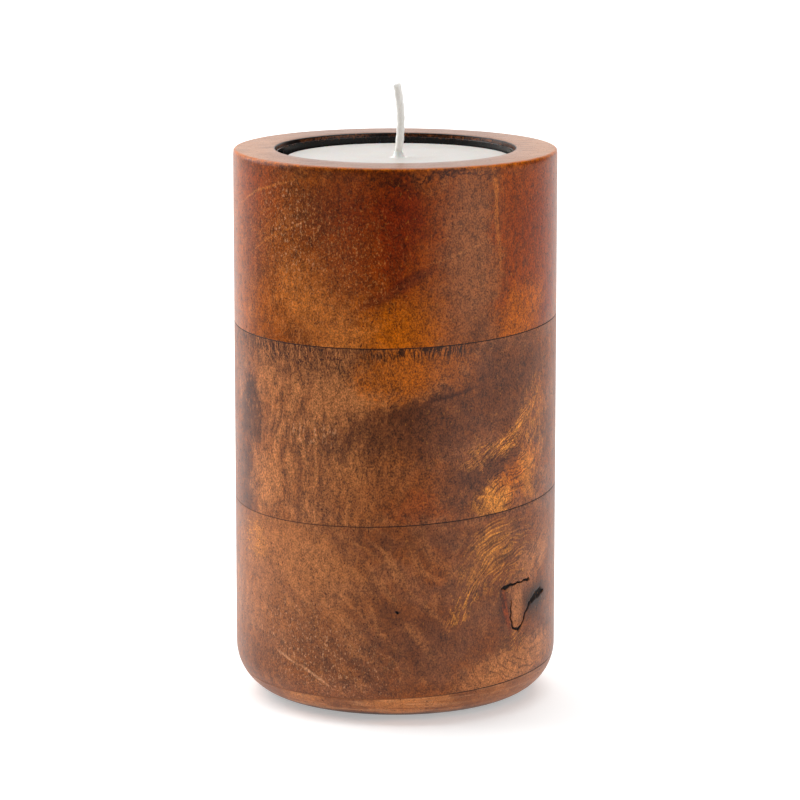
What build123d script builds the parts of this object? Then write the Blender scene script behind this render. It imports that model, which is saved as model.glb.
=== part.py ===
from build123d import *

import os
from math import atan, degrees, radians, tan

# Pillar candle holder: a turned wooden cylinder glued up from four planks, with a black steel cup lining
# its bore and a pillar candle standing in the cup. Sizes are in millimetres.
# Frame: origin at the centre of the foot, on the surface that the holder stands on. +Z is up, the front
# is -Y and +X is to the right.

os.makedirs("parts", exist_ok=True)

# Overall sizes
outer_diameter = 100.0
height = 171.0  # from the surface it stands on to the rim
base_round = 15.0  # radius of the rounded foot
rim_ease = 1.0  # radius that softens the rim's outer edge
mouth_ease = 0.4  # chamfer round the mouth of the bore

# Planks, measured along the axis. The top ring takes the height that is left.
base_slice_height = 10.3
lower_block_height = 54.1
middle_block_height = 54.3
glue_thickness = 0.25
# The blank was turned a little out of square with its glue lines: degrees (right side up, back up)
base_seam_tilt = (2.5, 2.6)
middle_seam_tilt = (2.5, 2.6)
top_seam_tilt = (1.5, 2.6)

# Felt disc, let into the underside
felt_thickness = 1.5
felt_stand = 0.4  # how far it stands proud of the wood
felt_margin = 4.0  # wood between the felt and the start of the rounded foot
felt_clearance = 0.2

# Candle
candle_diameter = 70.0
candle_height = 75.0
candle_sink = 3.0  # the candle's top is this far below the rim
candle_edge = 0.8  # radius of the candle's top and bottom edges
bead_height = 1.8  # wax drawn up round the wick
bead_diameter = 3.8  # at its foot
bead_rim = 0.25  # wax left round the wick at the top of the bead
wick_diameter = 2.2
wick_length = 23.0  # above the wax
wick_lean = 3.0  # degrees that its tip leans to the left
wick_clearance = 0.05
sustainer_diameter = 20.0
sustainer_sheet = 0.4
neck_height = 6.0
neck_wall = 0.5

# Liner cup
liner_sheet = 0.5
liner_corner = 0.7  # inside radius at the foot of the cup
liner_sink = 1.2  # its lip is this far below the rim
liner_clearance = 0.1  # between the cup and the wood, all round
candle_gap = 1.4  # between the candle and the cup, were it centred
candle_side_gap = 0.4  # what is left of that on the right, where the candle stands nearer to the cup

# Worked out from the sizes above
outer_radius = outer_diameter / 2
liner_inner_radius = candle_diameter / 2 + candle_gap
liner_outer_radius = liner_inner_radius + liner_sheet
lip_round = 0.45 * liner_sheet
bore_radius = liner_outer_radius + liner_clearance
candle_offset = candle_gap - candle_side_gap
candle_foot = height - candle_sink - candle_height
bore_floor = candle_foot - liner_sheet
felt_radius = outer_radius - base_round - felt_margin

base_seam_height = felt_stand + base_slice_height
middle_seam_height = base_seam_height + lower_block_height
top_seam_height = middle_seam_height + middle_block_height


def seam(seam_height, tilt):
    """The plane of a glue line that crosses the axis at seam_height."""
    right_up, back_up = (tan(radians(angle)) for angle in tilt)
    return Plane(origin=(0, 0, seam_height), z_dir=(-right_up, -back_up, 1))


base_seam = seam(base_seam_height, base_seam_tilt)
middle_seam = seam(middle_seam_height, middle_seam_tilt)
top_seam = seam(top_seam_height, top_seam_tilt)
half_glue = glue_thickness / 2

# The whole turned blank: every wooden piece and glue line is a slice of it
with BuildPart() as blank:
    with BuildSketch(Plane.XY.offset(felt_stand)):
        Circle(outer_radius)
    extrude(amount=height - felt_stand)
    fillet(blank.edges().sort_by(Axis.Z)[0], radius=base_round)
    fillet(blank.edges().sort_by(Axis.Z)[-1], radius=rim_ease)
    with BuildSketch(Plane.XY.offset(bore_floor)):
        Circle(bore_radius)
    extrude(amount=height - bore_floor, mode=Mode.SUBTRACT)
    mouth_edge = blank.edges().filter_by(GeomType.CIRCLE).group_by(Axis.Z)[-1].sort_by(SortBy.RADIUS)[0]
    chamfer(mouth_edge, length=mouth_ease)
    with BuildSketch(Plane.XY.offset(felt_stand)):
        Circle(felt_radius + felt_clearance)
    extrude(amount=felt_thickness - felt_stand, mode=Mode.SUBTRACT)

with BuildPart() as top_ring:
    add(blank.part)
    split(bisect_by=top_seam.offset(half_glue), keep=Keep.TOP)

with BuildPart() as middle_block:
    add(blank.part)
    split(bisect_by=top_seam.offset(-half_glue), keep=Keep.BOTTOM)
    split(bisect_by=middle_seam.offset(half_glue), keep=Keep.TOP)

with BuildPart() as lower_block:
    add(blank.part)
    split(bisect_by=middle_seam.offset(-half_glue), keep=Keep.BOTTOM)
    split(bisect_by=base_seam.offset(half_glue), keep=Keep.TOP)

with BuildPart() as base_slice:
    add(blank.part)
    split(bisect_by=base_seam.offset(-half_glue), keep=Keep.BOTTOM)

with BuildPart() as top_glue_line:
    add(blank.part)
    split(bisect_by=top_seam.offset(half_glue), keep=Keep.BOTTOM)
    split(bisect_by=top_seam.offset(-half_glue), keep=Keep.TOP)

with BuildPart() as middle_glue_line:
    add(blank.part)
    split(bisect_by=middle_seam.offset(half_glue), keep=Keep.BOTTOM)
    split(bisect_by=middle_seam.offset(-half_glue), keep=Keep.TOP)

with BuildPart() as base_glue_line:
    add(blank.part)
    split(bisect_by=base_seam.offset(half_glue), keep=Keep.BOTTOM)
    split(bisect_by=base_seam.offset(-half_glue), keep=Keep.TOP)

with BuildPart() as felt_pad:
    with BuildSketch(Plane.XY):
        Circle(felt_radius)
    extrude(amount=felt_thickness)

with BuildPart() as liner_cup:
    with BuildSketch(Plane.XY.offset(bore_floor)):
        Circle(liner_outer_radius)
    extrude(amount=height - liner_sink - bore_floor)
    fillet(liner_cup.edges().sort_by(Axis.Z)[0], radius=liner_corner + liner_sheet)
    offset(amount=-liner_sheet, openings=liner_cup.faces().sort_by(Axis.Z)[-1])
    lip_edges = liner_cup.edges().filter_by(GeomType.CIRCLE).group_by(Axis.Z)[-1]
    fillet(lip_edges, radius=lip_round)

# The candle and what is in it share one axis, set over to the right
candle_plane = Plane(origin=(candle_offset, 0, candle_foot))
wick_hole_radius = wick_diameter / 2 + wick_clearance
bead_taper = degrees(atan((bead_diameter / 2 - wick_hole_radius - bead_rim) / bead_height))
neck_radius = wick_hole_radius + neck_wall

with BuildPart() as candle_wax:
    with BuildSketch(candle_plane):
        Circle(candle_diameter / 2)
    extrude(amount=candle_height)
    fillet(candle_wax.edges().filter_by(GeomType.CIRCLE), radius=candle_edge)
    with BuildSketch(candle_plane.offset(candle_height)):
        Circle(bead_diameter / 2)
    extrude(amount=bead_height, taper=bead_taper)
    with BuildSketch(candle_plane):
        Circle(wick_hole_radius)
    extrude(amount=candle_height + bead_height, mode=Mode.SUBTRACT)
    with BuildSketch(candle_plane):
        Circle(sustainer_diameter / 2 + wick_clearance)
    extrude(amount=sustainer_sheet, mode=Mode.SUBTRACT)
    with BuildSketch(candle_plane):
        Circle(neck_radius + wick_clearance)
    extrude(amount=neck_height, mode=Mode.SUBTRACT)

with BuildPart() as wick_sustainer:
    with BuildSketch(candle_plane):
        Circle(sustainer_diameter / 2)
    extrude(amount=sustainer_sheet)
    with BuildSketch(candle_plane):
        Circle(neck_radius)
    extrude(amount=neck_height)
    with BuildSketch(candle_plane):
        Circle(wick_hole_radius)
    extrude(amount=neck_height, mode=Mode.SUBTRACT)

wick_top_of_wax = candle_foot + candle_height + bead_height
wick_bend = (wick_length - bead_height) / radians(wick_lean)
with BuildPart() as wick:
    with BuildLine(Plane.XZ) as wick_path:
        straight_run = Line((candle_offset, candle_foot), (candle_offset, wick_top_of_wax))
        JernArc(straight_run @ 1, straight_run % 1, radius=wick_bend, arc_size=wick_lean)
    with BuildSketch(candle_plane):
        Circle(wick_diameter / 2)
    sweep()

pieces = {
    "top_ring": top_ring,
    "middle_block": middle_block,
    "lower_block": lower_block,
    "base_slice": base_slice,
    "top_glue_line": top_glue_line,
    "middle_glue_line": middle_glue_line,
    "base_glue_line": base_glue_line,
    "felt_pad": felt_pad,
    "liner_cup": liner_cup,
    "candle_wax": candle_wax,
    "wick": wick,
    "wick_sustainer": wick_sustainer,
}
for name, piece in pieces.items():
    piece.part.label = name
    export_step(piece.part, f"parts/{name}.step")
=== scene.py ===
import math

import bmesh
import bpy
import numpy as np
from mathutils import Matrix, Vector


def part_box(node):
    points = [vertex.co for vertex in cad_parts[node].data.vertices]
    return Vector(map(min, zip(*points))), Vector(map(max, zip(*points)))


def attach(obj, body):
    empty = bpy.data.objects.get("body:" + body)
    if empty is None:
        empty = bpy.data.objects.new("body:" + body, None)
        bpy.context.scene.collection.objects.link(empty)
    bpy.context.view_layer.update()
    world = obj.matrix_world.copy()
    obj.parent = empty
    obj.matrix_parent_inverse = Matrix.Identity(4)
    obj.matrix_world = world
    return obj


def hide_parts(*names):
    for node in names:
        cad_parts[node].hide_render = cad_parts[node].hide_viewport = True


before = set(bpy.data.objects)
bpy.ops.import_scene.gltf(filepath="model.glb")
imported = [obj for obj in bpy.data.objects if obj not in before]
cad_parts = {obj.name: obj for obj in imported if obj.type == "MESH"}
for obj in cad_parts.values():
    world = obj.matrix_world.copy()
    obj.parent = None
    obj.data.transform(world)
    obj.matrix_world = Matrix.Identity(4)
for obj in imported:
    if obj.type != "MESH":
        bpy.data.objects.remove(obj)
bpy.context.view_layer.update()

# A turned wooden pillar candle holder: four planks glued up, stained and lacquered, with a black
# enamelled cup in the bore and a white pillar candle in it. Lengths are in metres, and sizes inside a
# material are in millimetres. The front is -Y, +X is to the right and +Z is up.

MM = 0.001
SAME_HEIGHT = 0.00001  # heights closer than this are one height


# ---------------------------------------------------------------- sizes, read from the frame

def corners(node):
    """The vertices of a CAD node, as an array."""
    return np.array([vertex.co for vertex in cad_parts[node].data.vertices])


def radii(points):
    return np.hypot(points[:, 0], points[:, 1])


def glue_plane(node):
    """(height on the axis, rise along +X, rise along +Y, half thickness) of a glue line."""
    points = corners(node)
    columns = np.column_stack([np.ones(len(points)), points[:, 0], points[:, 1]])
    plane, *_ = np.linalg.lstsq(columns, points[:, 2], rcond=None)
    return (*plane, np.abs(points[:, 2] - columns @ plane).max())


ring = corners("top_ring")
slice_points = corners("base_slice")
RIM = ring[:, 2].max()
OUTER = radii(ring).max()
BORE = radii(ring).min()
FOOT = slice_points[:, 2].min()
at_rim = radii(ring[ring[:, 2] > RIM - SAME_HEIGHT])
RIM_EASE = OUTER - at_rim.max()
MOUTH_EASE = at_rim.min() - BORE
FOOT_ROUND = OUTER - radii(slice_points[slice_points[:, 2] < FOOT + SAME_HEIGHT]).max()
BORE_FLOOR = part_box("liner_cup")[0].z
FELT_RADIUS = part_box("felt_pad")[1].x
FELT_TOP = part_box("felt_pad")[1].z
RECESS_RADIUS = radii(slice_points[slice_points[:, 2] < FOOT + SAME_HEIGHT]).min()
SEAMS = {name: glue_plane(f"{name}_glue_line") for name in ("base", "middle", "top")}

candle_low, candle_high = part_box("candle_wax")
CANDLE_X = (candle_low.x + candle_high.x) / 2
CANDLE_RADIUS = (candle_high.x - candle_low.x) / 2
CANDLE_FOOT = candle_low.z
BEAD_TOP = candle_high.z
wax = corners("candle_wax") - [CANDLE_X, 0, 0]
WAX_TOP = wax[radii(wax) > CANDLE_RADIUS / 2][:, 2].max()
CANDLE_EDGE = CANDLE_RADIUS - radii(wax[wax[:, 2] > WAX_TOP - SAME_HEIGHT]).max()
WICK_HOLE = radii(wax).min()
BEAD_MOUTH = radii(wax[wax[:, 2] > BEAD_TOP - SAME_HEIGHT]).max()
BEAD_FOOT = radii(wax[np.abs(wax[:, 2] - WAX_TOP) < SAME_HEIGHT]).min()
metal = corners("wick_sustainer") - [CANDLE_X, 0, 0]
SUSTAINER_TOP = np.unique(np.round(metal[:, 2], 6))[1]
NECK_TOP = metal[:, 2].max()
NECK_ROOM = radii(wax[np.abs(wax[:, 2] - SUSTAINER_TOP) < SAME_HEIGHT]).min()
SUSTAINER_ROOM = radii(wax[wax[:, 2] < CANDLE_FOOT + SAME_HEIGHT]).min()
wick_low, wick_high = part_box("wick")
WICK_RADIUS = (wick_high.y - wick_low.y) / 2
WICK_TOP = wick_high.z
CUP_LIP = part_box("liner_cup")[1].z


# ---------------------------------------------------------------- shader maths

class Paint:
    """A number that changes over a surface. Arithmetic on it adds Math nodes."""

    def __init__(self, finish, socket):
        self.finish = finish
        self.socket = socket

    def math(self, operation, *others):
        inputs = {place: value for place, value in enumerate((self, *others))}
        return self.finish.node("ShaderNodeMath", {"operation": operation}, inputs)

    def __add__(self, other):
        return self.math("ADD", other)

    def __sub__(self, other):
        return self.math("SUBTRACT", other)

    def __mul__(self, other):
        return self.math("MULTIPLY", other)

    def __rsub__(self, other):
        return self.finish.node("ShaderNodeMath", {"operation": "SUBTRACT"}, {0: other, 1: self})

    __radd__ = __add__
    __rmul__ = __mul__

    def rise(self, start, end):
        """0 below start and 1 above end, smoothly. With start above end it falls instead."""
        return self.finish.node(
            "ShaderNodeMapRange",
            {"interpolation_type": "SMOOTHSTEP"},
            {"Value": self, "From Min": start, "From Max": end},
        )


class Finish:
    """One material, and the nodes that its colour, gloss and bump are made of."""

    def __init__(self, name, **constants):
        self.material = bpy.data.materials.new(name)
        self.material.use_nodes = True
        self.tree = self.material.node_tree
        self.shader = self.tree.nodes["Principled BSDF"]
        for socket, value in constants.items():
            self.shader.inputs[socket.replace("_", " ")].default_value = value
        spot = self.node("ShaderNodeTexCoord", output="Object")
        scaling = {0: spot, "Scale": 1 / MM}
        self.place = self.node("ShaderNodeVectorMath", {"operation": "SCALE"}, scaling)
        self.x, self.y, self.z = self.xyz(self.place)

    def node(self, kind, settings=None, inputs=None, output=0):
        """Adds a node, sets it up, fills its sockets with values or links, and returns one output."""
        made = self.tree.nodes.new(kind)
        for name, value in (settings or {}).items():
            setattr(made, name, value)
        for socket, value in (inputs or {}).items():
            if isinstance(value, Paint):
                self.tree.links.new(value.socket, made.inputs[socket])
            else:
                made.inputs[socket].default_value = value
        return Paint(self, made.outputs[output])

    def xyz(self, vector):
        return [self.node("ShaderNodeSeparateXYZ", None, {0: vector}, axis) for axis in "XYZ"]

    def vector(self, x, y, z=0.0):
        return self.node("ShaderNodeCombineXYZ", None, {0: x, 1: y, 2: z})

    def mix(self, first, second, share):
        """A colour between two colours."""
        return self.node("ShaderNodeMix", {"data_type": "RGBA"}, {0: share, 6: first, 7: second}, 2)

    def noise(self, where, size, stretch=(1, 1, 1), tilt=0.0, detail=2.0, roughness=0.5, output="Fac"):
        """Cloudy noise round 0.5. Its lumps are size millimetres, stretched and then turned by tilt."""
        lumps = [size * share for share in stretch]
        local = self.node(
            "ShaderNodeMapping",
            {"vector_type": "TEXTURE"},
            {"Vector": where, "Rotation": (0, 0, math.radians(tilt)), "Scale": lumps},
        )
        return self.node(
            "ShaderNodeTexNoise",
            None,
            {"Vector": local, "Scale": 1.0, "Detail": detail, "Roughness": roughness},
            output,
        )

    def patch(self, where, centre, size, tilt=0.0, edge=0.6):
        """1 inside an ellipse of half sizes size on the wall, falling to 0 across its edge."""
        local = self.node(
            "ShaderNodeMapping",
            {"vector_type": "TEXTURE"},
            {
                "Vector": where,
                "Location": (*centre, 0),
                "Rotation": (0, 0, math.radians(tilt)),
                "Scale": (*size, 1),
            },
        )
        reach = self.node("ShaderNodeVectorMath", {"operation": "LENGTH"}, {0: local}, "Value")
        return reach.rise(1 + edge, 1 - edge)

    def bump(self, height, depth, strength=1.0):
        """Height from 0 to 1, over depth millimetres."""
        made = self.node(
            "ShaderNodeBump", None, {"Height": height, "Strength": strength, "Distance": depth * MM}
        )
        self.tree.links.new(made.socket, self.shader.inputs["Normal"])

    def feed(self, **sockets):
        for socket, value in sockets.items():
            self.tree.links.new(value.socket, self.shader.inputs[socket.replace("_", " ")])


def tone(red, green, blue):
    """A colour given as it looks on a screen, from 0 to 255."""
    return tuple((level / 255) ** 2.2 for level in (red, green, blue)) + (1.0,)


# ---------------------------------------------------------------- wood

CHESTNUT = tone(130, 68, 27)
GINGER = tone(188, 106, 44)
RUSSET = tone(146, 72, 16)
MAHOGANY = tone(108, 32, 2)
WALNUT = tone(92, 50, 28)
DUN = tone(128, 74, 44)
EMBER = tone(132, 54, 2)
AMBER = tone(182, 92, 6)
HONEY = tone(208, 128, 50)
FAWN = tone(184, 113, 63)
TAN = tone(206, 146, 102)
UMBER = tone(62, 28, 12)
CHAR = tone(24, 14, 10)
BISCUIT = tone(139, 102, 82)

KNOT_RADIAN = 22  # the length that a radian round a knot is taken as


class Wood(Finish):
    """Stained, lacquered wood. A point of its wall is (arc from the front, height) in millimetres, with
    the arc positive to the right. wall is that point made ragged, for patches of colour with ragged
    edges; soft_wall wavers, for streaks; and near_wall is nearly straight, for fine lines."""

    def __init__(self, name, ground, cloud, shine=0.26, dullness=0.33):
        super().__init__(name, Specular_IOR_Level=shine)
        self.dullness = dullness
        self.arc = self.x.math("ARCTAN2", 0 - self.y) * (OUTER / MM)
        self.flat_wall = self.vector(self.arc, self.z)
        self.soft_wall = self.ragged(self.ragged(self.flat_wall, 16, 9, 0), 3, 1.6, 2)
        self.near_wall = self.ragged(self.ragged(self.flat_wall, 14, 3, 0), 2.5, 1.2, 2)
        self.wall = self.ragged(self.ragged(self.flat_wall, 9, 13, 2), 1.5, 9, 3)
        broad = self.noise(self.place, 13, stretch=(1, 1, 0.8), detail=5, roughness=0.65)
        self.colour = self.mix(ground, cloud, broad.rise(0.38, 0.62))
        blotches = self.noise(self.place, 5, stretch=(1, 1, 1.5), detail=4, roughness=0.65)
        self.lay(WALNUT, blotches.rise(0.52, 0.66) * 0.3)
        self.lay(FAWN, blotches.rise(0.48, 0.34) * 0.3)
        self.gloss_loss = broad * 0.1
        self.contrast = 0.8
        # Round the back the grain runs level, in darker and lighter bands.
        bands = self.noise(self.place, 24, stretch=(1, 1, 0.3), detail=5, roughness=0.6)
        fine_bands = self.noise(self.place, 9, stretch=(1, 1, 0.1), detail=3, roughness=0.6)
        back = self.y.rise(2, 24)
        self.lay(WALNUT, bands.rise(0.52, 0.36) * back * 0.75)
        self.lay(FAWN, bands.rise(0.54, 0.68) * back * 0.4)
        self.lay(UMBER, fine_bands.rise(0.55, 0.7) * back * 0.45)

    def ragged(self, where, size, reach, detail):
        """Moves a place on the wall a little, so that whatever is laid there has a ragged edge."""
        drift = self.noise(self.place, size, detail=detail, roughness=0.6, output="Color")
        halves = {0: drift, 1: (0.5, 0.5, 0.5)}
        centred = self.node("ShaderNodeVectorMath", {"operation": "SUBTRACT"}, halves)
        return self.node(
            "ShaderNodeVectorMath",
            {"operation": "MULTIPLY_ADD"},
            {0: centred, 1: (reach, reach, 0), 2: where},
        )

    def lay(self, colour, share):
        """Lays a colour over the wood."""
        self.colour = self.mix(self.colour, colour, share)

    def spot(self, colour, strength, centre, size, tilt=0.0, edge=0.6):
        self.lay(colour, self.patch(self.wall, centre, size, tilt, edge) * strength)

    def line(self, colour, strength, centre, size, tilt=0.0):
        """A fine line, straighter than a spot."""
        self.lay(colour, self.patch(self.near_wall, centre, size, tilt, 0.5) * strength)

    def streaks(self, tilt, length=10, width=0.6, start=0.52, end=0.66, where=None):
        """Fine broken lines in the wall, all one way."""
        along = where or self.soft_wall
        return self.noise(along, 1, stretch=(length, width, 1), tilt=tilt, detail=1).rise(start, end)

    def figure(self, colour, strength, streaks, centre, size, tilt=0.0, edge=0.6):
        """Streaks of a colour, in one part of the wall."""
        self.lay(colour, streaks * self.patch(self.wall, centre, size, tilt, edge) * strength)

    def round_knot(self, centre, squash):
        """Places on the wall as (way round a knot, distance from it), so that streaks curve round it."""
        wavering = self.ragged(self.flat_wall, 9, 4, 1)
        local = self.node(
            "ShaderNodeMapping",
            {"vector_type": "TEXTURE"},
            {"Vector": wavering, "Location": (*centre, 0), "Scale": (squash, 1, 1)},
        )
        across, up, _ = self.xyz(local)
        reach = (across * across + up * up).math("SQRT")
        return self.vector(up.math("ARCTAN2", across) * KNOT_RADIAN, reach)

    def below(self, seam):
        """Millimetres below the middle of a glue line."""
        height, rise_x, rise_y, _ = SEAMS[seam]
        return self.x * rise_x + self.y * rise_y + height / MM - self.z

    def flecks(self, size=0.7, start=0.6, end=0.68, stretch=(1, 1, 1.7)):
        return self.noise(self.place, size, stretch=stretch, detail=2, roughness=0.6).rise(start, end)

    def lacquer(self, depth=0.05):
        """Pores and grain, the lacquer over them, and bump, over everything."""
        fine = self.noise(self.place, 0.46, stretch=(1, 1, 1.3), detail=2, roughness=0.7)
        grain = fine.rise(0.34, 0.66)
        mottle = self.noise(self.place, 2.1, stretch=(1, 1, 1.5), detail=2, roughness=0.6).rise(0.3, 0.7)
        level = 1 + self.contrast * (grain + mottle * 0.5 - 0.75)
        shading = {0: self.colour, "Scale": level}
        self.colour = self.node("ShaderNodeVectorMath", {"operation": "SCALE"}, shading)
        pores = self.noise(self.place, 0.6, stretch=(1, 1, 1.6), detail=1).rise(0.33, 0.26)
        glints = self.noise(self.place, 0.75, stretch=(1, 1, 1.4), detail=1).rise(0.68, 0.75)
        self.lay(HONEY, glints * 0.25)
        self.lay(UMBER, pores * 0.85)
        swell = self.noise(self.place, 4, detail=2)
        self.bump(grain * 0.3 + swell - pores * 0.6, depth, 0.6)
        roughness = self.dullness + self.gloss_loss + 0.08 * grain + 0.2 * pores
        self.feed(Base_Color=self.colour, Roughness=roughness)
        return self.material


def top_wood():
    wood = Wood("top plank wood", CHESTNUT, RUSSET, shine=0.18, dullness=0.24)
    # Patches of colour, from the left round to the right.
    wood.spot(EMBER, 0.8, (-52, 161), (14, 10), tilt=10)
    wood.spot(CHESTNUT, 0.5, (-50, 138), (9, 14))
    wood.spot(AMBER, 0.3, (-44, 126), (13, 8), tilt=25)
    wood.spot(AMBER, 0.35, (-66, 142), (9, 28))
    wood.spot(MAHOGANY, 0.3, (-53, 145), (8, 8), tilt=30)
    wood.spot(WALNUT, 0.7, (-26, 156), (9, 8), tilt=25)
    wood.spot(GINGER, 0.8, (-27, 130), (11, 9), tilt=-20)
    wood.spot(GINGER, 0.25, (-20, 132), (14, 16), tilt=30)
    wood.spot(EMBER, 0.85, (-4, 152), (21, 21), edge=0.7)
    wood.spot(MAHOGANY, 0.75, (1.5, 153), (5, 17), tilt=-4, edge=0.8)
    wood.spot(MAHOGANY, 0.4, (-5, 160), (13, 8), edge=0.8)
    wood.spot(AMBER, 0.8, (0, 123), (13, 8), tilt=12, edge=0.7)
    wood.spot(GINGER, 0.9, (-15, 119), (9, 5), tilt=25)
    wood.line(MAHOGANY, 0.6, (0, 134.6), (12, 2), tilt=28)
    wood.line(WALNUT, 0.4, (2, 135.4), (14, 1.6), tilt=28)
    wood.spot(DUN, 0.7, (24, 144), (10, 29), edge=0.6)
    wood.spot(FAWN, 0.12, (24, 140), (6, 22), edge=0.8)
    wood.spot(WALNUT, 0.55, (26, 122), (2.4, 7), tilt=-8, edge=0.8)
    wood.spot(EMBER, 0.85, (52, 147), (17, 30), edge=0.5)
    wood.spot(EMBER, 0.6, (37, 148), (4, 26), edge=0.7)
    wood.line(GINGER, 0.4, (32.4, 157), (0.8, 16), tilt=5)
    wood.spot(MAHOGANY, 0.2, (50, 152), (9, 8))
    wood.spot(AMBER, 0.65, (45, 125), (11, 7), tilt=30)
    wood.spot(MAHOGANY, 0.5, (60, 127), (5, 4), tilt=45)
    # Darker along the wall just under the rim.
    wood.spot(CHAR, 0.7, (0, 167), (3.4, 1.2), edge=0.8)
    wood.spot(UMBER, 0.85, (14, 169.4), (26, 0.9), tilt=-0.5, edge=0.9)
    wood.spot(UMBER, 0.5, (-36, 169.2), (14, 0.7), edge=0.9)
    # Pale lines, streaks and flecks.
    wood.line(GINGER, 0.6, (-46, 162), (14, 0.4), tilt=20)
    wood.line(GINGER, 0.5, (-40, 149), (15, 0.35), tilt=28)
    wood.line(FAWN, 0.3, (22, 146), (13, 0.3), tilt=18)
    wood.figure(GINGER, 0.4, wood.streaks(24, length=5, width=0.5), (-41, 150), (13, 12), tilt=20)
    wood.figure(TAN, 0.65, wood.flecks(0.8, 0.58, 0.66), (-34, 150), (11, 15), tilt=20)
    wood.figure(FAWN, 0.8, wood.flecks(0.55, 0.56, 0.64), (-26, 140), (24, 24))
    wood.figure(WALNUT, 0.6, wood.streaks(88, length=6, width=0.8), (42, 148), (14, 22))
    wood.figure(WALNUT, 0.5, wood.streaks(60, length=4, width=0.7), (50, 124), (10, 8))
    # Behind: grain round a knot on the right, and a dark cloud on the left.
    curl = wood.streaks(0, length=14, width=1.2, where=wood.round_knot((100, 150), 1.3))
    wood.lay(WALNUT, curl * wood.patch(wood.flat_wall, (100, 145), (38, 26)) * 0.6)
    wood.lay(WALNUT, wood.patch(wood.wall, (-95, 140), (26, 14), tilt=-15) * 0.6)
    finish_rim(wood)
    return wood.lacquer()


def finish_rim(wood):
    """The rim: paler on its flat top, partly as sanded wood and partly as a painted sheen, with more
    painted sheen toward its left and right; rubbed lighter along its outer edge and given a painted
    highlight there; and black at the mouth.
    """
    radius = (wood.x * wood.x + wood.y * wood.y).math("SQRT")
    edge_breakup = wood.noise(wood.place, 3, detail=4, roughness=0.7)
    worn_edge_and_highlight = radius.rise((OUTER - 1.3 * RIM_EASE) / MM, (OUTER - 0.6 * RIM_EASE) / MM)
    worn_edge_and_highlight = worn_edge_and_highlight * (wood.z + edge_breakup * 0.8).rise((RIM - RIM_EASE) / MM + 0.45, RIM / MM)
    plank = wood.noise(wood.place, 1, stretch=(11, 1.3, 3), tilt=8, detail=4, roughness=0.6)
    face = wood.z.rise((RIM - 0.5 * RIM_EASE) / MM, (RIM - 0.15 * RIM_EASE) / MM)
    # Paler flat top: partly sanded wood, partly a painted sheen. The next lay is painted sheen, paler
    # toward the left and right.
    wood.lay(BISCUIT, face * 0.92)
    wood.lay(TAN, face * (wood.x * wood.x).rise(500, 2000) * 0.4)
    wood.lay(WALNUT, face * plank.rise(0.42, 0.66) * 0.6)
    wood.contrast = 0.95 - 0.7 * face
    # The outer edge: rubbed lighter, with a painted highlight on it.
    wood.lay(AMBER, worn_edge_and_highlight * (0.35 + edge_breakup.rise(0.4, 0.6) * 0.6))
    scuffs = wood.noise(wood.place, 0.85, stretch=(1, 1, 0.6), detail=2, roughness=0.7)
    patchy = wood.noise(wood.place, 7, detail=2).rise(0.42, 0.56)
    mouth = (radius + scuffs * 0.6).rise((BORE + MOUTH_EASE) / MM + 0.5, (BORE + MOUTH_EASE) / MM + 0.15)
    wood.lay(CHAR, mouth)
    rubbed = mouth * (RIM / MM - wood.z).rise(0.3, 0.5) * scuffs.rise(0.4, 0.5)
    wood.lay(DUN, rubbed * patchy * 0.6 + rubbed * wood.x.rise(0, 6) * 0.3)


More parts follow.
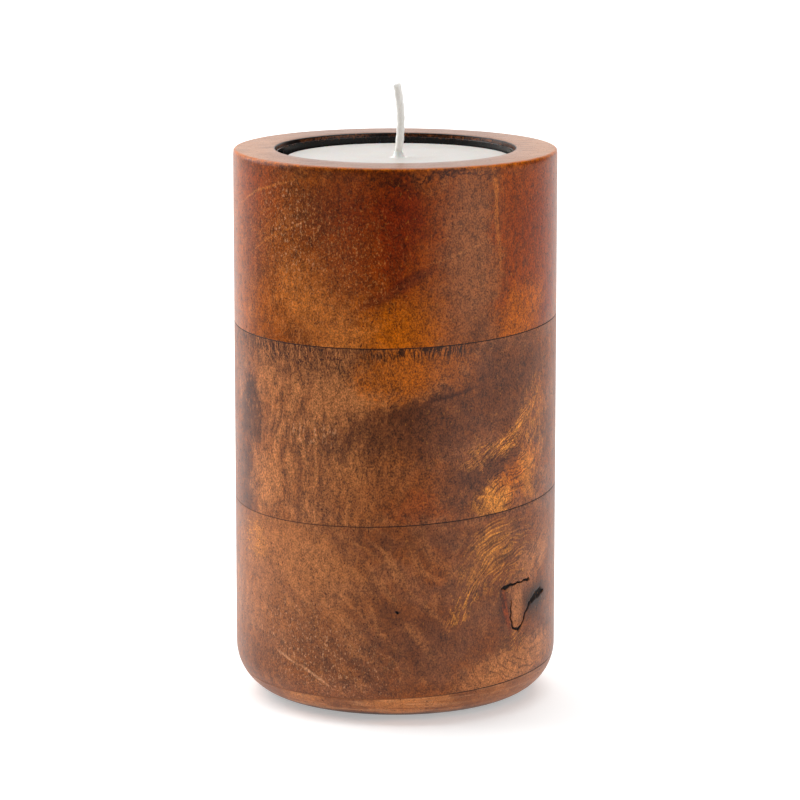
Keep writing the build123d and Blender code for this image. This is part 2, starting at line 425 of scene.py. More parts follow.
def middle_wood():
    wood = Wood("middle plank wood", DUN, CHESTNUT)
    # The left half: upright grain, paler and darker.
    upright = wood.noise(wood.soft_wall, 1, stretch=(15, 3, 1), tilt=88, detail=3, roughness=0.6)
    wood.spot(FAWN, 0.55, (-24, 88), (22, 32), edge=0.8)
    wood.spot(WALNUT, 0.4, (-24, 86), (16, 6), tilt=-10, edge=0.7)
    wood.figure(FAWN, 0.9, upright.rise(0.49, 0.6), (-30, 88), (25, 30), edge=0.6)
    wood.figure(WALNUT, 0.6, upright.rise(0.46, 0.36), (-26, 84), (26, 28), edge=0.6)
    wood.spot(FAWN, 0.8, (-15, 106), (9, 9), tilt=10)
    wood.spot(FAWN, 0.95, (-14.5, 77), (5.5, 6.5))
    wood.spot(FAWN, 0.6, (-45, 105), (6, 6), tilt=-8)
    wood.spot(FAWN, 0.9, (-44.5, 73), (5.5, 9), edge=0.6)
    wood.spot(WALNUT, 0.6, (-16, 86.5), (6, 4))
    wood.spot(WALNUT, 0.9, (-54, 93), (8, 9), tilt=-12, edge=0.35)
    wood.spot(UMBER, 0.5, (-52, 99), (5, 3), edge=0.6)
    wood.spot(WALNUT, 0.75, (-58, 71), (5.5, 14), edge=0.6)
    # The middle: an orange patch over a dark one, with a fine dark line between them.
    wood.spot(AMBER, 0.8, (0, 109.5), (11, 8), edge=0.5)
    wood.spot(AMBER, 0.35, (15, 110), (8, 6.5), edge=0.5)
    wood.spot(WALNUT, 0.8, (36, 105), (15, 12), tilt=15, edge=0.6)
    wood.spot(WALNUT, 0.6, (52, 107), (7, 9), edge=0.6)
    wood.spot(WALNUT, 0.75, (8, 92), (21, 8.5), tilt=5, edge=0.5)
    wood.spot(UMBER, 0.55, (2, 96), (8, 3.5), edge=0.8)
    wood.line(UMBER, 0.7, (17, 102.3), (8.5, 0.7), tilt=10)
    wood.spot(UMBER, 0.5, (14, 101.5), (5, 1.2), tilt=8)
    wood.spot(CHESTNUT, 0.5, (0, 74), (22, 8))
    # The right: golden figure that climbs to the right, with dark bands in it.
    wood.spot(WALNUT, 0.6, (22, 74), (7, 8), tilt=30)
    wood.spot(WALNUT, 0.9, (33, 79.5), (13, 2.8), tilt=25, edge=0.7)
    wood.spot(AMBER, 0.75, (42, 74.5), (11, 4.5), tilt=32, edge=0.6)
    wood.spot(HONEY, 0.5, (46.5, 75), (3.5, 5.5), tilt=10, edge=0.6)
    wood.spot(HONEY, 0.9, (33, 69.5), (5.5, 3.4), tilt=22, edge=0.7)
    wood.spot(AMBER, 0.25, (52, 98), (4, 6), tilt=-20)
    wood.spot(WALNUT, 0.55, (58, 86), (6, 8))
    wood.spot(EMBER, 0.4, (8, 68), (9, 3))
    # Streaks.
    pale = wood.streaks(90, length=3.5, width=0.6, start=0.55, end=0.62)
    wood.figure(TAN, 0.6, pale, (-28, 89.5), (9, 3), edge=0.4)
    wood.figure(FAWN, 0.7, wood.streaks(88, length=3, width=0.6, start=0.58), (-30, 98), (24, 18))
    wood.figure(UMBER, 0.4, wood.streaks(94, length=4, width=0.6), (-25, 80), (24, 20))
    gold = wood.streaks(32, length=8, width=0.45, start=0.47, end=0.57, where=wood.near_wall)
    wood.figure(HONEY, 1.0, gold, (39.5, 88.5), (9.5, 3.2), tilt=33)
    wood.figure(HONEY, 0.6, gold, (31, 84), (10, 3), tilt=20)
    wood.figure(UMBER, 0.8, wood.streaks(32, length=7, width=0.5), (38, 76), (16, 12), tilt=30)
    wood.figure(HONEY, 0.6, wood.streaks(78, length=3, width=0.5, start=0.5, end=0.6), (51, 90), (6, 14))
    # Darker wood and dark ticks that hang from the glue line above.
    under = wood.below("top")
    ticks = wood.streaks(90, length=4, width=0.55, start=0.49, end=0.55) * under.rise(6, 2)
    wood.lay(CHAR, ticks * wood.arc.rise(28, 20) * wood.arc.rise(-14, -6) * 0.8)
    under_seam_patch = wood.patch(wood.flat_wall, (-34, 114), (30, 9), tilt=-12)
    wood.lay(UMBER, under_seam_patch * under.rise(14, 1) * 0.45)
    wood.lay(UMBER, under_seam_patch * under.rise(14, 3) * wood.flecks(0.6, 0.5, 0.57) * 0.85)
    shreds = wood.streaks(90, length=3.5, width=0.5, start=0.54, end=0.6)
    wood.lay(FAWN, under_seam_patch * under.rise(10, 3) * shreds * 0.8)
    # Behind.
    curl = wood.streaks(0, length=12, width=0.9, where=wood.round_knot((116, 96), 2.4))
    wood.lay(HONEY, curl * wood.patch(wood.wall, (104, 88), (34, 20)) * 0.3)
    wood.lay(WALNUT, wood.patch(wood.wall, (-110, 84), (24, 16), tilt=20) * 0.7)
    wood.contrast = 1.0
    return wood.lacquer()


def lower_wood():
    wood = Wood("lower plank wood", DUN, CHESTNUT)
    # The left and the middle: patches, and soft bands that fall to the right.
    wood.spot(FAWN, 0.7, (-30, 52), (16, 9), tilt=-25, edge=0.8)
    wood.spot(HONEY, 0.4, (-50, 54), (5, 5), edge=0.8)
    wood.spot(FAWN, 0.45, (-40, 38), (30, 22), edge=0.8)
    wood.spot(WALNUT, 0.45, (-50, 17), (12, 8), edge=0.8)
    wood.spot(WALNUT, 0.4, (-22, 24), (20, 9), tilt=-25, edge=0.7)
    wood.spot(WALNUT, 0.45, (20, 30), (12, 15), tilt=-20, edge=0.7)
    wood.spot(WALNUT, 0.5, (10, 57), (20, 5), edge=0.7)
    wood.spot(WALNUT, 0.5, (2, 28), (15, 11), tilt=-35)
    bands = wood.noise(wood.soft_wall, 1, stretch=(22, 3.6, 1), tilt=-44, detail=3)
    wood.figure(FAWN, 0.45, bands.rise(0.48, 0.7), (-18, 42), (25, 28), edge=0.5)
    wood.figure(FAWN, 0.2, bands.rise(0.48, 0.7), (8, 40), (16, 24), edge=0.8)
    wood.figure(WALNUT, 0.45, bands.rise(0.5, 0.3), (-12, 36), (30, 30), edge=0.5)
    wood.line(TAN, 0.5, (-36, 18.6), (4.5, 0.4), tilt=-25)
    wood.line(TAN, 0.6, (-26.5, 14), (5, 0.5), tilt=-31)
    wood.line(FAWN, 0.4, (-18, 42), (15, 0.4), tilt=-46)
    wood.figure(HONEY, 0.7, wood.streaks(-8, length=6, width=0.5), (-51, 54), (6, 7))
    wood.figure(TAN, 0.6, wood.flecks(0.6, 0.58, 0.66), (-26, 22), (22, 13), tilt=-20)
    # The knot: golden grain that curls over it, a paler band under it, and its own dark edges.
    swirl = wood.round_knot((47, 31), 1.1)
    around = wood.patch(wood.wall, (34, 51), (15, 11), tilt=42, edge=0.5)
    beneath = wood.patch(wood.wall, (42, 15.5), (19, 5.5), tilt=13, edge=0.6)
    wood.lay(WALNUT, around * 0.4)
    wood.spot(WALNUT, 0.6, (35, 31), (3.5, 10), edge=0.7)
    wood.spot(WALNUT, 0.5, (44, 23), (14, 4), tilt=8, edge=0.7)
    wood.spot(FAWN, 0.5, (53, 49), (11, 4.5), tilt=28, edge=0.7)
    wood.spot(WALNUT, 0.5, (59, 27), (5, 6), edge=0.7)
    gold = wood.streaks(0, length=5, width=0.7, start=0.46, end=0.66, where=swirl)
    wood.spot(HONEY, 0.3, (31, 52), (8, 5), tilt=45, edge=0.8)
    wood.lay(HONEY, gold * around * 0.5)
    rising = wood.streaks(26, length=9, width=1.1, where=wood.near_wall)
    wood.figure(WALNUT, 0.7, rising, (52, 51), (11, 9), tilt=25)
    wood.figure(HONEY, 0.8, gold, (31, 53), (5, 3.5), tilt=45)
    wood.lay(UMBER, wood.streaks(0, length=10, width=0.8, where=swirl) * around * 0.6)
    wood.lay(FAWN, beneath * 0.75)
    wood.lay(WALNUT, wood.streaks(4, length=8, width=1.1, where=swirl) * beneath * 0.6)
    steep = wood.streaks(64, length=7, width=0.45, start=0.5, end=0.6, where=wood.near_wall)
    wood.figure(HONEY, 0.8, steep, (21, 38), (2.2, 8), tilt=-22)
    wood.line(UMBER, 0.5, (37.2, 33), (2.4, 8), tilt=10)
    wood.line(EMBER, 0.85, (37.6, 33.8), (1.0, 6.2), tilt=10)
    wood.line(UMBER, 0.8, (36.4, 37.2), (0.6, 3.4), tilt=22)
    wood.line(FAWN, 0.6, (43, 33.5), (2.6, 7), tilt=-6)
    wood.lay(CHAR, wood.patch(wood.near_wall, (52.4, 34.8), (7.2, 4.6), tilt=24, edge=0.85) * 0.95)
    wood.figure(HONEY, 0.7, wood.streaks(35, length=4, width=0.5), (42, 22.5), (5, 2))
    crack = wood.node("ShaderNodeAttribute", {"attribute_name": "crack"}, None, "Fac")
    wood.lay(CHAR, crack.rise(0.05, 0.5))
    close_under = wood.below("middle").rise(2.2, 0.3)
    wood.lay(UMBER, close_under * wood.arc.rise(10, 30) * wood.flecks(0.6, 0.46, 0.55) * 0.6)
    # Behind.
    curl = wood.streaks(0, length=15, width=1.1, where=wood.round_knot((-104, 40), 1.4))
    wood.lay(WALNUT, curl * wood.patch(wood.flat_wall, (-104, 38), (38, 24)) * 0.6)
    wood.gloss_loss = wood.gloss_loss + crack * 0.4
    wood.contrast = 0.85
    return wood.lacquer()


def slice_wood():
    wood = Wood("base slice wood", DUN, FAWN)
    plank = wood.noise(wood.place, 1, stretch=(16, 16, 0.9), detail=4, roughness=0.65)
    wood.lay(TAN, plank.rise(0.5, 0.66) * 0.5)
    wood.lay(CHESTNUT, plank.rise(0.46, 0.3) * 0.75)
    wood.lay(DUN, wood.arc.rise(8, 34) * 0.5)
    # Painted contact shadow: darker where it meets the table.
    wood.lay(CHAR, (wood.z + plank).rise(3.8, 1.8) * 0.85)
    wood.contrast = 0.5
    return wood.lacquer()


# ---------------------------------------------------------------- turned shapes

QUARTER = math.pi / 2  # a right angle, in radians
WALL_START = FOOT_ROUND * QUARTER  # lengths along the outline, from the flat of the foot
WALL_END = WALL_START + (RIM - RIM_EASE) - (FOOT + FOOT_ROUND)
OUTLINE_END = WALL_END + RIM_EASE * QUARTER
EVEN = np.linspace(0, 2 * math.pi, 360, endpoint=False)  # the angles of a turned mesh, from the front
SEAM_BREAK = 0.07 * MM  # the sharp edge at a glue line is broken by this much


def outline(length):
    """(radius, height) of the outside, at a length along it from the flat of the foot."""
    low = np.clip(length / FOOT_ROUND, 0, QUARTER)
    high = np.clip((length - WALL_END) / RIM_EASE, 0, QUARTER)
    up = np.clip(length, WALL_START, WALL_END) - WALL_START
    radius = OUTER - FOOT_ROUND * (1 - np.sin(low)) - RIM_EASE * (1 - np.cos(high))
    height = FOOT + FOOT_ROUND * (1 - np.cos(low)) + up + RIM_EASE * np.sin(high)
    return radius, height


def seam_height(seam, side, radius, angles):
    """Height of one face of a glue line: side is 1 for its top and -1 for its underside."""
    middle, rise_x, rise_y, half = SEAMS[seam]
    return middle + side * half + radius * (rise_x * np.sin(angles) - rise_y * np.cos(angles))


def seam_length(seam, side, angles):
    """Where the outline meets that face, all the way round, found by halving."""
    low = np.zeros_like(angles)
    high = np.full_like(angles, OUTLINE_END)
    for _ in range(40):
        middle = (low + high) / 2
        radius, height = outline(middle)
        below = height < seam_height(seam, side, radius, angles)
        low = np.where(below, middle, low)
        high = np.where(below, high, middle)
    return middle


def turned(name, angles, rows, closed=False, centre_x=0.0):
    """A mesh from rows of (radius, height) round an upright axis. A closed one joins its last row to
    its first. Any other has radius 0 in its first and last rows, where it ends in a point."""
    count = len(angles)
    vertices = []
    rings = []
    for radius, height in rows:
        radius = np.broadcast_to(radius, angles.shape)
        height = np.broadcast_to(height, angles.shape)
        start = len(vertices)
        if radius.max() == 0:
            vertices.append((centre_x, 0, height[0]))
            rings.append([start] * count)
        else:
            vertices += zip(centre_x + radius * np.sin(angles), -radius * np.cos(angles), height)
            rings.append(list(range(start, start + count)))
    faces = []
    for lower, upper in zip(rings, rings[1:] + ([rings[0]] if closed else [])):
        for at in range(count):
            after = (at + 1) % count
            face = dict.fromkeys((lower[at], lower[after], upper[after], upper[at]))
            if len(face) > 2:
                faces.append(tuple(face))
    return solid(name, vertices, faces)


def solid(name, vertices, faces):
    """An object from a closed mesh, smooth except at its sharp edges."""
    mesh = bpy.data.meshes.new(name)
    mesh.from_pydata([tuple(map(float, vertex)) for vertex in vertices], [], faces)
    mesh.validate()
    tidy = bmesh.new()
    tidy.from_mesh(mesh)
    bmesh.ops.recalc_face_normals(tidy, faces=tidy.faces)
    tidy.to_mesh(mesh)
    tidy.free()
    mesh.polygons.foreach_set("use_smooth", [True] * len(mesh.polygons))
    mesh.set_sharp_from_angle(angle=math.radians(32))
    piece = bpy.data.objects.new(name, mesh)
    bpy.context.scene.collection.objects.link(piece)
    return piece


def place_piece(piece, node, body, material):
    piece.data.materials.append(material)
    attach(piece, body)
    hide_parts(node)


def wall_rows(start, end, shares):
    """Rows of the outside, at these shares of the way between two lengths."""
    return [outline(start + (end - start) * share) for share in shares]


def broken_edge(length):
    """The row at a glue line, a little inside the outline."""
    radius, height = outline(length)
    return radius - SEAM_BREAK, height


def cut_rows(seam, side, radii_there, angles=EVEN):
    """Rows across a plank's flat face, along a glue line."""
    return [(radius, seam_height(seam, side, radius, angles)) for radius in radii_there]


def cut_middle(seam, side):
    """The point where that face crosses the axis."""
    height, _, _, half = SEAMS[seam]
    return 0.0, height + side * half


def make_top_ring():
    """A ring, with finer rows round its eased outer edge."""
    start = seam_length("top", 1, EVEN)
    shares = np.concatenate([np.linspace(0, 1, 50, endpoint=False), np.linspace(0.985, 1, 9)])
    wall = wall_rows(start + SEAM_BREAK, np.full_like(EVEN, OUTLINE_END), shares)
    inner = seam_height("top", 1, BORE, EVEN)
    rows = [broken_edge(start), *wall]
    for share in (0.25, 0.5, 0.75, 1.0):
        rows.append((OUTER - RIM_EASE + (BORE + MOUTH_EASE - OUTER + RIM_EASE) * share, RIM))
    rows += [(BORE + MOUTH_EASE * 0.3, RIM - MOUTH_EASE * 0.3), (BORE, RIM - MOUTH_EASE)]
    for share in np.linspace(0, 1, 20)[1:]:
        rows.append((BORE, (RIM - MOUTH_EASE) * (1 - share) + inner * share))
    return turned("TopRing", EVEN, rows, closed=True)


def make_middle_block():
    """A block, with the blind end of the bore in its top."""
    start, end = seam_length("middle", 1, EVEN), seam_length("top", -1, EVEN)
    wall = wall_rows(start + SEAM_BREAK, end - SEAM_BREAK, np.linspace(0, 1, 50))
    rows = [cut_middle("middle", 1), *cut_rows("middle", 1, (OUTER * 0.5, OUTER * 0.98))]
    rows += [broken_edge(start), *wall, broken_edge(end)]
    rows += cut_rows("top", -1, (OUTER * 0.9, BORE))
    top = seam_height("top", -1, BORE, EVEN)
    for share in (0.3, 0.6, 0.9, 1.0):
        rows.append((BORE, top * (1 - share) + BORE_FLOOR * share))
    rows += [(BORE * 0.5, BORE_FLOOR), (0.0, BORE_FLOOR)]
    return turned("MiddleBlock", EVEN, rows)


# Cracks in the lower block, as (arc from the front, height, half width) in millimetres along each one:
# four round the knot, which join, and a pinhole. The mesh is finer where they lie.
KNOT_CRACKS = [
    [(35.2, 40.3, 0.15), (36.8, 40.6, 0.6), (39.2, 41, 0.3), (44, 41.2, 0.15), (47.8, 41.4, 0.4)],
    [(39.4, 36, 0.1), (39.2, 30.5, 0.2), (40.3, 27.4, 0.25), (42.4, 26.3, 0.35), (44.6, 27.8, 0.25)],
    [(44.6, 27.8, 0.25), (46.4, 31.2, 0.25), (48.6, 33.6, 0.4), (51.2, 35.1, 0.8), (54.6, 36, 1.0)],
    [(54.6, 36, 1.0), (57.4, 36, 0.3)],
    [(0.5, 36, 0.4), (0.5, 36.01, 0.4)],
]
KNOT_ARCS = np.arange(34, 60, 0.19)
PINHOLE_ARCS = np.arange(-0.4, 1.4, 0.15)
CRACKED_SHARES = np.linspace(0.28, 0.62, 116)  # of the way up the block's wall
CRACK_DEPTH = 0.45 * MM


def crack_share(arc, height):
    """1 in the middle of a crack, falling to 0 past its edge. The cracks wander a little."""
    arc = arc + 0.16 * np.sin(2.1 * height) + 0.05 * np.sin(4.7 * height)
    height = height + 0.14 * np.sin(1.9 * arc) + 0.05 * np.sin(4.3 * arc)
    share = np.zeros_like(arc)
    for crack in KNOT_CRACKS:
        for (arc_0, height_0, width_0), (arc_1, height_1, width_1) in zip(crack, crack[1:]):
            run, climb = arc_1 - arc_0, height_1 - height_0
            along = ((arc - arc_0) * run + (height - height_0) * climb) / (run**2 + climb**2)
            along = np.clip(along, 0, 1)
            gap = np.hypot(arc - arc_0 - along * run, height - height_0 - along * climb)
            width = width_0 + along * (width_1 - width_0)
            share = np.maximum(share, np.clip(1.6 - gap / width, 0, 1))
    return share


def make_lower_block():
    """A solid block, whose wall is pushed in along the cracks and says how far in a "crack" attribute."""
    cracked_arcs = np.concatenate([KNOT_ARCS, PINHOLE_ARCS])
    angles = np.union1d(EVEN, cracked_arcs * MM / OUTER % (2 * math.pi))
    start, end = seam_length("base", 1, angles), seam_length("middle", -1, angles)
    shares_up = np.union1d(np.linspace(0, 1, 50), CRACKED_SHARES)
    wall = wall_rows(start + SEAM_BREAK, end - SEAM_BREAK, shares_up)
    arcs = np.where(angles > math.pi, angles - 2 * math.pi, angles) * OUTER / MM
    cracks = [crack_share(arcs, height / MM) for _, height in wall]
    wall = [(radius - CRACK_DEPTH * share, height) for (radius, height), share in zip(wall, cracks)]
    rows = [cut_middle("base", 1), *cut_rows("base", 1, (OUTER * 0.5, OUTER * 0.9), angles)]
    rows.append(broken_edge(start))
    before = 1 + (len(rows) - 1) * len(angles)  # vertices below the wall: a point, then whole rows
    rows += [*wall, broken_edge(end)]
    rows += [*cut_rows("middle", -1, (OUTER * 0.9, OUTER * 0.5), angles), cut_middle("middle", -1)]
    block = turned("LowerBlock", angles, rows)
    shares = np.zeros(len(block.data.vertices))
    shares[before : before + len(wall) * len(angles)] = np.concatenate(cracks)
    crack = block.data.attributes.new("crack", "FLOAT", "POINT")
    crack.data.foreach_set("value", shares)
    return block


def make_base_slice():
    """A thin block with the rounded foot, and the felt's recess in its underside."""
    end = seam_length("base", -1, EVEN)
    wall = wall_rows(np.zeros_like(EVEN), end - SEAM_BREAK, np.linspace(0, 1, 24))
    rows = [(0.0, FELT_TOP), (RECESS_RADIUS * 0.5, FELT_TOP)]
    rows += [(RECESS_RADIUS, FELT_TOP), (RECESS_RADIUS, FOOT)]
    rows += [*wall, broken_edge(end)]
    rows += [*cut_rows("base", -1, (OUTER * 0.85, OUTER * 0.5)), cut_middle("base", -1)]
    return turned("BaseSlice", EVEN, rows)


def make_felt_pad():
    """A cut disc of felt: soft edges, and an underside that is never quite flat."""
    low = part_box("felt_pad")[0].z
    half = (FELT_TOP - low) / 2
    edge = 0.35 * MM
    hair = 0.12 * MM
    hollow = 0.05 * MM
    rows = [(0.0, FELT_TOP)]
    for share in (0.3, 0.6, 0.9):
        rows.append((FELT_RADIUS * share, FELT_TOP))
    for turn in np.linspace(0, math.pi, 9):
        uneven = hair * (1 + np.sin(41 * EVEN) * np.sin(23 * EVEN)) / 2
        reach = FELT_RADIUS - edge * (1 - np.sin(turn)) - uneven
        rows.append((reach, low + half + half * np.cos(turn)))
    for share in np.linspace(0.97, 0.03, 30):
        lumps = np.sin(31 * EVEN + 60 * share) * np.sin(17 * EVEN - 90 * share)
        lumps = lumps + np.sin(70 * share + 5 * EVEN)
        rows.append((FELT_RADIUS * share, low + hollow * (1 + lumps / 2)))
    rows.append((0.0, low + hollow))
    return turned("FeltPad", EVEN, rows)


# ---------------------------------------------------------------- candle

PLAIT_PITCH = 3.4 * MM
WICK_BOW = 0.8 * MM  # the free wick bows to the right by this much
FRAYED = 1.1 * MM  # the length of its frayed end
TUFT = 0.25 * MM


def make_candle_wax():
    """Poured wax: a gently uneven top, drawn up round the wick, with room for wick and sustainer."""
    around = np.linspace(0, 2 * math.pi, 180, endpoint=False)
    rows = [(WICK_HOLE, BEAD_TOP - 0.1 * MM), ((WICK_HOLE + BEAD_MOUTH) / 2, BEAD_TOP)]
    for share in np.linspace(0, 1, 9):
        radius = BEAD_MOUTH + (BEAD_FOOT + 0.2 * MM - BEAD_MOUTH) * share**2
        uneven = 0.12 * MM * np.sin(3 * around + 5 * share) * share * (1 - share)
        rows.append((radius + uneven, BEAD_TOP - 0.15 * MM * (1 - share) + (WAX_TOP - BEAD_TOP) * share))
    flat = CANDLE_RADIUS - CANDLE_EDGE
    for share in np.linspace(0.12, 1, 32):
        radius = flat * share
        dish = -0.10 * math.sin(math.pi * share)
        swell = 0.03 * np.sin(2 * around + 9 * share)
        ripple = 0.02 * np.sin(5 * around - 14 * share)
        level_at_edge = min(1, 6 * (1.02 - share))
        rows.append((radius, WAX_TOP + MM * (dish + swell + ripple) * level_at_edge))
    for turn in np.linspace(0, QUARTER, 7)[1:]:
        drop = CANDLE_EDGE * (1 - math.cos(turn))
        rows.append((flat + CANDLE_EDGE * math.sin(turn), WAX_TOP - drop))
    for share in np.linspace(0, 1, 26)[1:]:
        height = (WAX_TOP - CANDLE_EDGE) * (1 - share) + (CANDLE_FOOT + CANDLE_EDGE) * share
        cast = 0.02 * MM * np.sin(4 * around + 3 * share) * math.sin(math.pi * share)
        rows.append((CANDLE_RADIUS - 0.02 * MM + cast, height))
    for turn in np.linspace(0, QUARTER, 7)[1:]:
        rise = CANDLE_EDGE * (1 - math.sin(turn))
        rows.append((flat + CANDLE_EDGE * math.cos(turn), CANDLE_FOOT + rise))
    rows += [((flat + SUSTAINER_ROOM) / 2, CANDLE_FOOT), (SUSTAINER_ROOM, CANDLE_FOOT)]
    rows += [(SUSTAINER_ROOM, SUSTAINER_TOP), (NECK_ROOM, SUSTAINER_TOP), (NECK_ROOM, NECK_TOP)]
    rows.append((WICK_HOLE, NECK_TOP))
    return turned("CandleWax", around, rows, closed=True, centre_x=CANDLE_X)


def make_wick():
    """A plaited cotton wick that bends to the left, nearly on the CAD wick's line. It is a little
    thicker above the wax, and its cut end is frayed."""
    crown = corners("wick")
    crown = crown[crown[:, 2] > WICK_TOP - WICK_RADIUS * 0.15]
    drop = CANDLE_X - (crown[:, 0].min() + crown[:, 0].max()) / 2
    rise = WICK_TOP - BEAD_TOP
    bend = (rise**2 + drop**2) / (2 * drop)
    around = np.linspace(0, 2 * math.pi, 28, endpoint=False)
    hidden = np.linspace(CANDLE_FOOT, BEAD_TOP, 60, endpoint=False)
    shown = np.linspace(BEAD_TOP, WICK_TOP - 0.1 * MM, 150)
    vertices = []
    for height in np.concatenate([hidden, shown]):
        lean = math.asin(max(0.0, height - BEAD_TOP) / bend)
        x = CANDLE_X - bend * (1 - math.cos(lean))
        twist = 2 * math.pi * height / PLAIT_PITCH
        plait = np.maximum(np.cos(2 * around - twist), np.cos(2 * around + twist))
        fluff = np.sin(9 * around + 5 * twist) * np.sin(4 * around - 2.3 * twist)
        end = max(0.0, 1 - (WICK_TOP - height) / FRAYED)
        shown_share = max(0.0, height - BEAD_TOP) / rise
        x += WICK_BOW * math.sin(math.pi * shown_share)
        loose = 0.95 + 0.25 * min(1.0, max(0.0, height - BEAD_TOP) / MM)
        round_end = math.sqrt(1 - 0.9 * end**2)
        radius = WICK_RADIUS * loose * (0.93 + 0.05 * plait + 0.02 * fluff) * round_end
        tuft = TUFT * end * np.sin(5 * around) if end else 0
        across = radius * np.cos(around)
        along = radius * np.sin(around)
        vertices += zip(x + across * math.cos(lean), along, height + across * math.sin(lean) + tuft)
    rings = len(vertices) // len(around)
    faces = []
    for ring_at in range(rings - 1):
        for at in range(len(around)):
            after = (at + 1) % len(around)
            low, high = ring_at * len(around), (ring_at + 1) * len(around)
            faces.append((low + at, low + after, high + after, high + at))
    faces.append(tuple(range(len(around)))[::-1])
    tip = len(vertices)
    vertices.append((x, 0, WICK_TOP - 0.05 * MM))
    last = (rings - 1) * len(around)
    for at in range(len(around)):
        faces.append((last + at, last + (at + 1) % len(around), tip))
    return solid("Wick", vertices, faces)


# ---------------------------------------------------------------- the other finishes

def white_wax():
    poured = Finish("white wax", Subsurface_Weight=0.25, Subsurface_Scale=2 * MM, IOR=1.44)
    offset = poured.x - CANDLE_X / MM
    painted_light_near_wick = (offset * offset + poured.y * poured.y).math("SQRT").rise(3.4, 1.4)
    cloudy = poured.noise(poured.place, 9, detail=4, roughness=0.6)
    frost = poured.noise(poured.place, 0.8, detail=3, roughness=0.7)
    pearls = poured.noise(poured.place, 0.7, detail=1).rise(0.7, 0.76)
    colour = poured.mix(tone(174, 169, 164), tone(179, 174, 169), cloudy.rise(0.35, 0.65))
    colour = poured.mix(colour, tone(214, 211, 206), pearls * 0.8 + frost.rise(0.6, 0.8) * 0.3)
    # Painted light: the wax round the wick is whiter, so that the bead shows no shaded side.
    colour = poured.mix(colour, tone(240, 238, 234), painted_light_near_wick * 0.9)
    poured.bump(frost * 0.3 + cloudy - pearls * 0.2, 0.06, 0.5)
    poured.feed(Base_Color=colour, Roughness=0.34 + 0.16 * cloudy + 0.1 * frost)
    return poured.material


def waxed_cotton():
    cotton = Finish("waxed cotton", Subsurface_Weight=0.8, Subsurface_Scale=1.2 * MM)
    cotton.shader.inputs["Subsurface Radius"].default_value = (1, 1, 1)
    fibres = cotton.noise(cotton.place, 0.14, stretch=(1, 1, 5), detail=3, roughness=0.6)
    soaked = cotton.z.rise(BEAD_TOP / MM + 4, BEAD_TOP / MM)
    colour = cotton.mix(tone(250, 247, 242), tone(234, 229, 221), fibres.rise(0.45, 0.65) * 0.6)
    colour = cotton.mix(colour, tone(236, 233, 228), soaked * 0.5)
    cotton.bump(fibres, 0.08, 0.5)
    cotton.feed(Base_Color=colour, Roughness=0.7 - soaked * 0.3 - fibres * 0.1)
    return cotton.material


def black_enamel():
    enamel = Finish("black enamel", Coat_Roughness=0.12, Specular_IOR_Level=0.16)
    orange_peel = enamel.noise(enamel.place, 1.6, stretch=(1, 1, 1.8), detail=2)
    dust = enamel.noise(enamel.place, 0.35, detail=2).rise(0.66, 0.72)
    rubbed = enamel.noise(enamel.place, 0.9, detail=3, roughness=0.7).rise(0.52, 0.62)
    lip = enamel.z.rise(CUP_LIP / MM - 0.7, CUP_LIP / MM - 0.2)
    drag = enamel.noise(enamel.place, 1, stretch=(1.2, 1.2, 16), detail=3, roughness=0.6)
    colour = enamel.mix(tone(14, 13, 14), tone(30, 28, 28), drag.rise(0.45, 0.7))
    colour = enamel.mix(colour, tone(92, 58, 36), lip * rubbed * 0.8)
    colour = enamel.mix(colour, tone(120, 112, 104), dust * 0.25)
    enamel.bump(orange_peel * 0.5 - rubbed * lip * 0.6, 0.05, 0.5)
    roughness = 0.16 + 0.14 * drag.rise(0.5, 0.75) + 0.4 * (rubbed * lip) + 0.3 * dust
    enamel.feed(Base_Color=colour, Roughness=roughness, Coat_Weight=0.08 - 0.08 * (rubbed * lip))
    return enamel.material


def black_felt():
    felt = Finish("black felt", Specular_IOR_Level=0.15, Sheen_Weight=0.35, Sheen_Roughness=0.6)
    hairs = felt.noise(felt.place, 0.35, stretch=(3, 1, 1), tilt=30, detail=3, roughness=0.7)
    crossed = felt.noise(felt.place, 0.35, stretch=(3, 1, 1), tilt=-50, detail=3, roughness=0.7)
    matted = felt.noise(felt.place, 5, detail=3)
    fluff = hairs.math("MAXIMUM", crossed)
    colour = felt.mix(tone(20, 19, 20), tone(48, 46, 46), fluff.rise(0.5, 0.72))
    colour = felt.mix(colour, tone(36, 33, 31), matted.rise(0.45, 0.7) * 0.5)
    felt.bump(fluff + matted * 0.4, 0.25, 0.7)
    felt.feed(Base_Color=colour, Roughness=0.86 + 0.12 * hairs)
    return felt.material


def tinned_steel():
    steel = Finish("tinned steel", Metallic=1.0)
    spangle = steel.noise(steel.place, 2.2, detail=2, roughness=0.6)
    rubs = steel.noise(steel.place, 0.4, stretch=(9, 1, 1), tilt=35, detail=2)
    dull = steel.noise(steel.place, 4, detail=3).rise(0.5, 0.7)
    colour = steel.mix(tone(196, 196, 194), tone(168, 167, 163), spangle.rise(0.4, 0.6))
    colour = steel.mix(colour, tone(128, 122, 112), dull * 0.5)
    steel.bump(rubs * 0.4 + spangle * 0.6, 0.03, 0.4)
    steel.feed(Base_Color=colour, Roughness=0.24 + 0.2 * dull + 0.16 * rubs)
    return steel.material


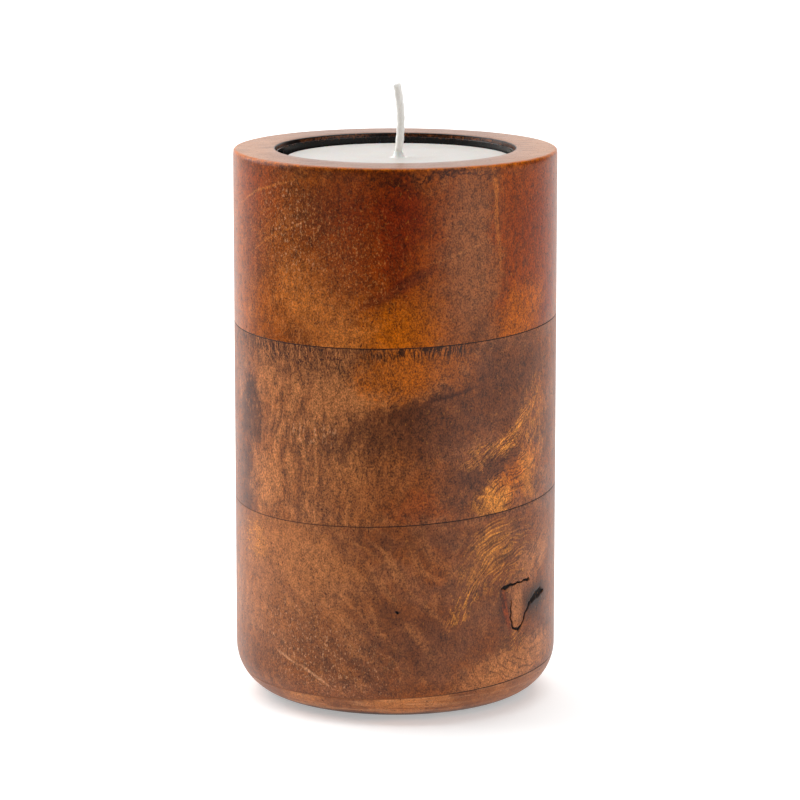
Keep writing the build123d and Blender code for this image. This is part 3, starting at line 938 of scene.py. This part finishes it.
def dark_glue(seam, faded_below, dark_above, faintest=0.0):
    """A line of glue. On the front it fades into the wood toward the left, from the arc dark_above to
    the arc faded_below, as far as faintest says, and it is dark again round the back."""
    glue = Finish(f"dark {seam} glue", Specular_IOR_Level=0.3)
    arc = glue.x.math("ARCTAN2", 0 - glue.y) * (OUTER / MM)
    beads = glue.noise(glue.place, 1.2, detail=3, roughness=0.7)
    colour = glue.mix(tone(34, 20, 14), tone(62, 36, 22), beads.rise(0.5, 0.7))
    faded = (arc + beads * 20 - 10).rise(dark_above, faded_below) * arc.rise(-110, -70)
    colour = glue.mix(colour, tone(132, 78, 44), faded * faintest)
    glue.bump(beads, 0.08, 0.6)
    glue.feed(Base_Color=colour, Roughness=0.5 + 0.2 * beads)
    return glue.material


def dress(node, material):
    """A CAD node keeps its shape and gets a material."""
    node_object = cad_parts[node]
    node_object.data.materials.clear()
    node_object.data.materials.append(material)


place_piece(make_top_ring(), "top_ring", "holder", top_wood())
place_piece(make_middle_block(), "middle_block", "holder", middle_wood())
place_piece(make_lower_block(), "lower_block", "holder", lower_wood())
place_piece(make_base_slice(), "base_slice", "holder", slice_wood())
place_piece(make_felt_pad(), "felt_pad", "holder", black_felt())
place_piece(make_candle_wax(), "candle_wax", "candle", white_wax())
place_piece(make_wick(), "wick", "candle", waxed_cotton())
dress("liner_cup", black_enamel())
dress("wick_sustainer", tinned_steel())
dress("top_glue_line", dark_glue("top", -200, -190))
dress("middle_glue_line", dark_glue("middle", -30, 0, faintest=0.45))
dress("base_glue_line", dark_glue("base", 4, 24, faintest=0.95))


# ---------------------------------------------------------------- floor, light and camera

def sheet_on_floor(name, low, high, height, shade, glow=0.0):
    """A flat sheet of one grey, lying between two corners. A lit table glows a little."""
    mesh = bpy.data.meshes.new(name)
    corners_round = [low, (high[0], low[1]), high, (low[0], high[1])]
    mesh.from_pydata([(x, y, height) for x, y in corners_round], [], [(0, 1, 2, 3)])
    sheet = bpy.data.objects.new(name, mesh)
    bpy.context.scene.collection.objects.link(sheet)
    paper = Finish(name, Roughness=0.9, Specular_IOR_Level=0.1, Base_Color=(shade, shade, shade, 1))
    paper.shader.inputs["Emission Color"].default_value = (1, 1, 1, 1)
    paper.shader.inputs["Emission Strength"].default_value = glow
    mesh.materials.append(paper.material)
    return sheet


def softbox(name, azimuth, distance, size, height, power, aim=0.09):
    """A panel of light, azimuth degrees to the right of the front. It faces the axis at the height aim,
    or straight down where aim is None."""
    light = bpy.data.lights.new(name, "AREA")
    light.shape = "RECTANGLE"
    light.size, light.size_y = size
    light.energy = power
    lamp = bpy.data.objects.new(name, light)
    turn = math.radians(azimuth)
    lamp.location = (distance * math.sin(turn), -distance * math.cos(turn), height)
    if aim is not None:
        lamp.rotation_euler = (Vector((0, 0, aim)) - lamp.location).to_track_quat("-Z", "Y").to_euler()
    lamp.visible_camera = False
    bpy.context.scene.collection.objects.link(lamp)


# Black cards lie out of shot, so that the white floor doesn't wash out the lacquer's colour.
CARDS = {
    "FrontCard": ((-0.28, -1.2), (0.2, -0.22)),
    "SideCard": ((-1.1, -0.55), (-0.4, 0.3)),
}
AMBIENT = 0.06  # the room's light, beside the panels'
FOCAL_LENGTH = 177.2
CAMERA_PLACE = (1.45 * MM, -1206.2 * MM, RIM + 153.0 * MM)
LOOKING_DOWN = 10.9  # degrees

sheet_on_floor("Floor", (-4, -4), (4, 4), 0, shade=0.75, glow=0.38)
for name, (low, high) in CARDS.items():
    card = sheet_on_floor(name, low, high, 2 * MM, shade=0.02)
    card.visible_camera = False
    card.visible_shadow = False
softbox("RightPanel", 52, 0.6, (0.5, 0.6), 0.3, 1.7)
softbox("LeftPanel", -108, 0.65, (0.7, 0.7), 0.5, 6.2)
softbox("TopPanel", 180, 1.4, (2.6, 3.8), 2.0, 86.0, aim=None)
softbox("BackPanel", 180, 1.6, (3.0, 0.7), 0.37, 8.0, aim=0.37)

world = bpy.data.worlds.new("Studio")
world.use_nodes = True
backdrop = world.node_tree.nodes["Background"]
backdrop.inputs["Color"].default_value = (1, 1, 1, 1)
# The room is white to look at, and dim as a light.
seen = world.node_tree.nodes.new("ShaderNodeLightPath")
level = world.node_tree.nodes.new("ShaderNodeMapRange")
level.inputs["To Min"].default_value = AMBIENT
world.node_tree.links.new(seen.outputs["Is Camera Ray"], level.inputs["Value"])
world.node_tree.links.new(level.outputs[0], backdrop.inputs["Strength"])
bpy.context.scene.world = world
bpy.context.scene.view_settings.view_transform = "Standard"

lens = bpy.data.cameras.new("Camera")
lens.lens = FOCAL_LENGTH
lens.sensor_width = 36.0
lens.clip_end = 50
camera = bpy.data.objects.new("Camera", lens)
camera.location = CAMERA_PLACE
camera.rotation_euler = (math.radians(90 - LOOKING_DOWN), 0, 0)
bpy.context.scene.collection.objects.link(camera)
bpy.context.scene.camera = camera
